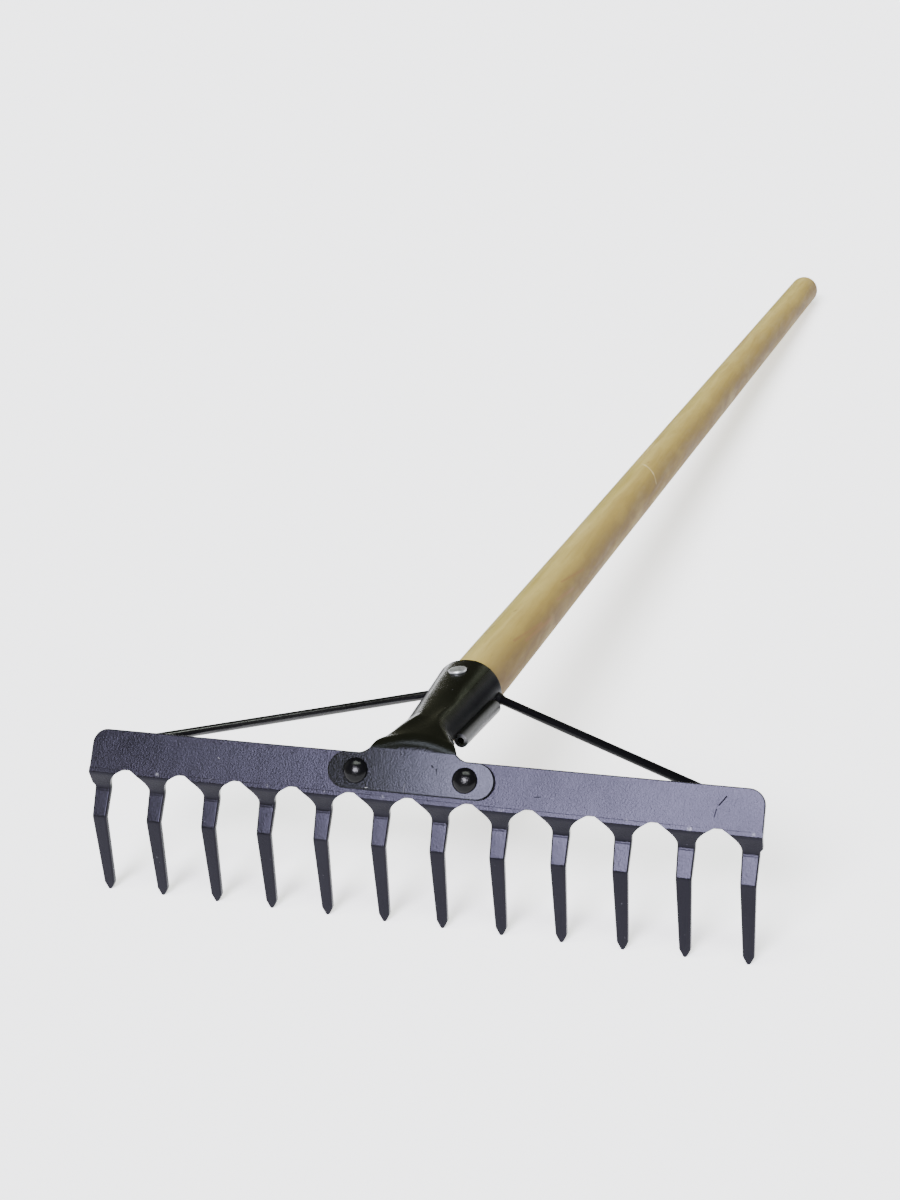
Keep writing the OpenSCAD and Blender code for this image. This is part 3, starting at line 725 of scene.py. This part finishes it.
def base_inset(pts, top):
    """The outline drawn in by the rounding of its front edge; it stays level where it meets the neck."""
    inner = []
    for i, p in enumerate(pts):
        t = (pts[(i + 1) % len(pts)] - pts[i - 1]).normalized()
        inner.append(p + BASE_ROUND * Vector((-t.y, t.x)))
    for i in top:
        side = 1 if pts[i].x > 0 else -1
        inner[i] = Vector((pts[i].x - side * BASE_ROUND, JOIN_Z))
    return inner


def base(shape):
    """The riveted base: its front edge is rounded, and its rim is undercut behind."""
    pts = [Vector(p) for p in base_outline()]
    top = [i for i, p in enumerate(pts) if abs(p.y - JOIN_Z) < 1e-6]
    inner, n = base_inset(pts, top), len(pts)
    levels = [(1 - math.sin(q), -SHEET + BASE_ROUND * (1 - math.cos(q))) for q in quarter(4)]
    levels += [(0, -0.5), (0.8, -0.35), (0.8, 0)]
    verts, faces = [], []
    for f, y in levels:
        verts += [(mix(p.x, s.x, f), y, mix(p.y, s.y, f)) for p, s in zip(pts, inner)]
    for i in range(len(levels) - 1):
        for j in range(n):
            k = (j + 1) % n
            if j not in top or k not in top:
                faces.append((i * n + j, i * n + k, (i + 1) * n + k, (i + 1) * n + j))
    shape.add(verts, faces)
    shape.add([(p.x, -SHEET, p.y) for p in inner], [tuple(range(n))])
    shape.add([(p.x, 0, p.y) for p in pts], [tuple(reversed(range(n)))])


def turned(p, z, prof, n):
    """Rings of a turned piece about the axis z from p; prof gives radii and places along z."""
    z = z.normalized()
    x = z.orthogonal().normalized()
    y = z.cross(x)
    return [[p + t * z + r * (math.cos(TAU * i / n) * x + math.sin(TAU * i / n) * y) for i in range(n)]
            for r, t in prof]


def tube(shape, p, q, r_out, r_in):
    """Round tube with softened rims, from p to q."""
    length = (q - p).length
    prof = [(r_in, 0.35), (r_in + 0.25, 0.05), ((r_in + r_out) / 2, 0), (r_out - 0.35, 0.05),
            (r_out - 0.08, 0.25), (r_out, 0.6)]
    prof += [(r, length - t) for r, t in reversed(prof)]
    rings = turned(p, q - p, prof, 40)
    shape.skin(rings + [rings[0]], start=False, end=False)


def hem(shape, side):
    """Rolled edge along one side of the barrel; the left one is moved with the swollen side."""
    out, drop = (0, HEM_DROP) if side > 0 else (LEFT_SWELL - LEFT_TUCK, LEFT_DROP + LEFT_TUCK)
    ends = [barrel_point(side * (barrel_r(t) - SHEET + HEM_D / 2 + out), -drop, t)
            for t in (-BARREL_LEN, -TAB_LEN)]
    tube(shape, ends[0], ends[1], HEM_D / 2, HEM_D / 2 - SHEET)


def socket():
    s = Shape()
    base(s)
    s.skin(socket_rings(), start=False)
    for side in (-1, 1):
        hem(s, side)
    mat = paint("socket_paint", (0.003, 0.0033, 0.002), 0.2, peel=1.6, tint=(0.74, 0.75, 1.0), spec=0.13,
                swell=((4, -SHEET, 14), 70, 3.0), marks=BASE_MARKS + BARREL_MARKS)
    stand_for(s.object("socket_steel", mat, weld=0.01), "socket")


# Rods, welds, rivets, nail


# Turned pieces: how far they reach into what they sit on, pinhole at the axis, and sides
SUNK, PINHOLE, ROUND_SIDES = 0.02, 0.02, 48


def head(shape, p, z, r, foot, height, steps, power=1):
    """Domed head at p along z, on a rim as high as foot; a power over 1 slims its shoulder."""
    prof = [(r, -SUNK), (r, foot)]
    prof += [(r * math.cos(q), foot + height * math.sin(q) ** power) for q in quarter(steps)[1:-1]]
    prof.append((PINHOLE, foot + height))
    shape.skin(turned(Vector(p), Vector(z), prof, ROUND_SIDES), start=False, end=False)


def rivets():
    """Domed heads in front and flatter closing heads behind."""
    s = Shape()
    for side in (-1, 1):
        head(s, (side * RIVET_X, -SHEET, RIVET_Z), (0, -1, 0), RIVET_HEAD_R, 0.15, RIVET_HEAD_H, 16, 1.15)
        head(s, (side * RIVET_X, COMB_T, RIVET_Z), (0, 1, 0), RIVET_TAIL_R, 0.1, RIVET_TAIL_H, 10)
    mat = paint("rivet_paint", (0.002, 0.002, 0.0025), 0.2, peel=3.0, spec=0.13, grain=330)
    stand_for(s.object("rivet_heads", mat), "rivets")


# Profile of the nail's flat head, and how deep it is driven in
NAIL_HEAD = ((4.3, -0.3), (4.55, 0.15), (4.6, 0.55), (4.5, 0.95), (4.2, 1.25), (3.7, 1.37), (2.0, 1.36),
             (PINHOLE, 1.34))
NAIL_SET = 0.3


def nail():
    s = Shape()
    out = math.cos(NAIL_LEAN) * UP + math.sin(NAIL_LEAN) * Vector((1, 0, 0))
    p = MOUTH + NAIL_T * AXIS + (barrel_r(NAIL_T) - NAIL_SET) * out
    s.skin(turned(p, out, NAIL_HEAD, ROUND_SIDES), start=False, end=False)
    stand_for(s.object("nail_head", zinc()), "nail")


def keep_node(name, mat):
    """Puts a material on a piece of the CAD that is shown as it is."""
    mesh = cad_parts[name].data
    mesh.materials.clear()
    mesh.materials.append(mat)
    mesh.polygons.foreach_set("use_smooth", [True] * len(mesh.polygons))
    mesh.set_sharp_from_angle(angle=math.radians(40))


# Handle


def wood_radius(t):
    inside = barrel_r(min(t, 0)) - SHEET - WOOD_GAP
    return mix(inside, HANDLE_R, smooth(t / BUTT_LEN)) if t > 0 else inside


# Height, length and phase of the waves along the handle, their side of it, and how far they fade
WAVES, WAVE_SIDE, WAVE_FADE = ((0.12, 47, 0), (0.08, 19, 1)), 0.7, 60
WOOD_SIDES = 64


def wood_ring(t, r):
    """Section of the handle, a hair out of round in slow waves along it."""
    wave = sum(height * math.sin(t / length + phase) for height, length, phase in WAVES)
    wave *= smooth(t / WAVE_FADE) * smooth((HANDLE_OUT - END_ROUND - t) / WAVE_FADE)
    ring = []
    for i in range(WOOD_SIDES):
        a = TAU * i / WOOD_SIDES
        far = r + wave * math.cos(a - WAVE_SIDE)
        ring.append(barrel_point(far * math.cos(a), far * math.sin(a), t))
    return ring


def handle():
    s = Shape()
    straight = HANDLE_OUT - END_ROUND
    rings = [wood_ring(-HANDLE_IN, PINHOLE), wood_ring(-HANDLE_IN, wood_radius(-HANDLE_IN) - NOSE)]
    rings += [wood_ring(t, wood_radius(t)) for t in (NOSE - HANDLE_IN, -30, -15, 0)]
    rings += [wood_ring(t, wood_radius(t)) for t in range(12, int(straight), 12)]
    for q in quarter(12):
        rings.append(wood_ring(straight + END_ROUND * math.sin(q),
                               HANDLE_R - END_ROUND + END_ROUND * math.cos(q)))
    s.skin(rings + [wood_ring(HANDLE_OUT, PINHOLE)], start=False, end=False)
    stand_for(s.object("handle_wood", wood()), "handle")


# Stage


CAMERA_AT, CAMERA_AIM, CAMERA_UP = (285.5, -877, -51.7), (-0.297, 0.942, 0.157), (-0.064, -0.184, 0.981)
LENS = 59.31


def camera():
    """The photograph's camera; its place and directions are given in the plate frame."""
    cam = bpy.data.cameras.new("camera")
    cam.lens, cam.sensor_width, cam.sensor_fit = LENS, 36.0, "AUTO"
    obj = bpy.data.objects.new("camera", cam)
    bpy.context.scene.collection.objects.link(obj)
    c, s = math.cos(FLOOR_ANGLE), math.sin(FLOOR_ANGLE)

    def turn(v):
        return Vector((v[0], v[1] * c + v[2] * s, v[2] * c - v[1] * s))
    fwd = turn(CAMERA_AIM).normalized()
    right = fwd.cross(turn(CAMERA_UP)).normalized()
    up = right.cross(fwd)
    obj.matrix_world = Matrix.Translation(row(CAMERA_AT)) @ Matrix(
        ((right.x, up.x, -fwd.x, 0), (right.y, up.y, -fwd.y, 0), (right.z, up.z, -fwd.z, 0), (0, 0, 0, 1)))
    bpy.context.scene.camera = obj


FLOOR_HALF = 60
SURROUND = (1.0, 1.0, 0.68)
# Direction, full and outer angles, radiance and colour of each patch of light
LIGHTS = (((-0.12, -0.81, 0.575), 10, 14.5, 50.0, (0.90, 0.88, 1.0)),
          ((0.02, -0.82, 0.57), 4, 14, 30.0, (0.90, 0.88, 1.0)),
          ((-0.29, -0.166, 0.942), 3, 8, 22.0, (0.92, 1.0, 0.90)),
          ((-0.08, -0.15, 0.985), 3, 8, 22.0, (0.92, 1.0, 0.90)),
          ((0.13, -0.12, 0.984), 3, 8, 22.0, (0.92, 1.0, 0.90)),
          ((-0.95, 0.1, 0.3), 10, 30, 0.4, (1, 1, 1)),
          ((0.75, 0.5, 0.30), 8, 22, 2.0, (1, 1, 1)),
          ((0.2, 0.91, 0.36), 2, 6, 4.0, (0.9, 1.0, 0.7)))


def stage():
    mesh = bpy.data.meshes.new("floor")
    corners = [(x * FLOOR_HALF, y * FLOOR_HALF, 0) for x, y in ((-1, -1), (1, -1), (1, 1), (-1, 1))]
    mesh.from_pydata(corners, [], [(0, 1, 2, 3)])
    floor = bpy.data.objects.new("floor", mesh)
    bpy.context.scene.collection.objects.link(floor)
    n = Nodes("pale_floor")
    n.set(Base_Color=(0.9, 0.9, 0.9, 1), Roughness=0.9, Emission_Color=(1, 1, 1, 1), Emission_Strength=1.3)
    n.bsdf.inputs["Specular IOR Level"].default_value = 0.0
    mesh.materials.append(n.mat)
    bpy.context.scene.world = studio()


def studio():
    """Soft light as a surround: dim above and paler near the horizon, with the patches of LIGHTS."""
    world = bpy.data.worlds.new("studio")
    world.use_nodes = True
    n = Nodes.on(world.node_tree, "Generated")
    back = world.node_tree.nodes["Background"]
    level = n.remap(n.math("ABSOLUTE", n.axes()["Z"]), 0.05, 0.3, 0.55, 0.11)
    light = n.scaled(SURROUND, level)
    for aim, inner, outer, power, tint in LIGHTS:
        light = n.plus(light, n.scaled(tint, n.lobe(aim, inner, outer, power)))
    n.link(light, back.inputs["Color"])
    back.inputs["Strength"].default_value = 1.0
    return world


comb()
socket()
rivets()
nail()
# The rods share one paint: the left copy is more specular so that it shows a highlight line, the right copy
# less so that it stays dark; lit and shaded copies of one paint.
for name, spec in (("brace_left", 0.6), ("brace_right", 0.06)):
    keep_node(name, paint(name + "_paint", (0.002, 0.002, 0.0025), 0.2, peel=0.15, spec=spec))
keep_node("brace_welds", paint("weld_paint", (0.003, 0.003, 0.0035), 0.25, peel=0.6, spec=0.2))
handle()
camera()
stage()
bpy.context.view_layer.update()
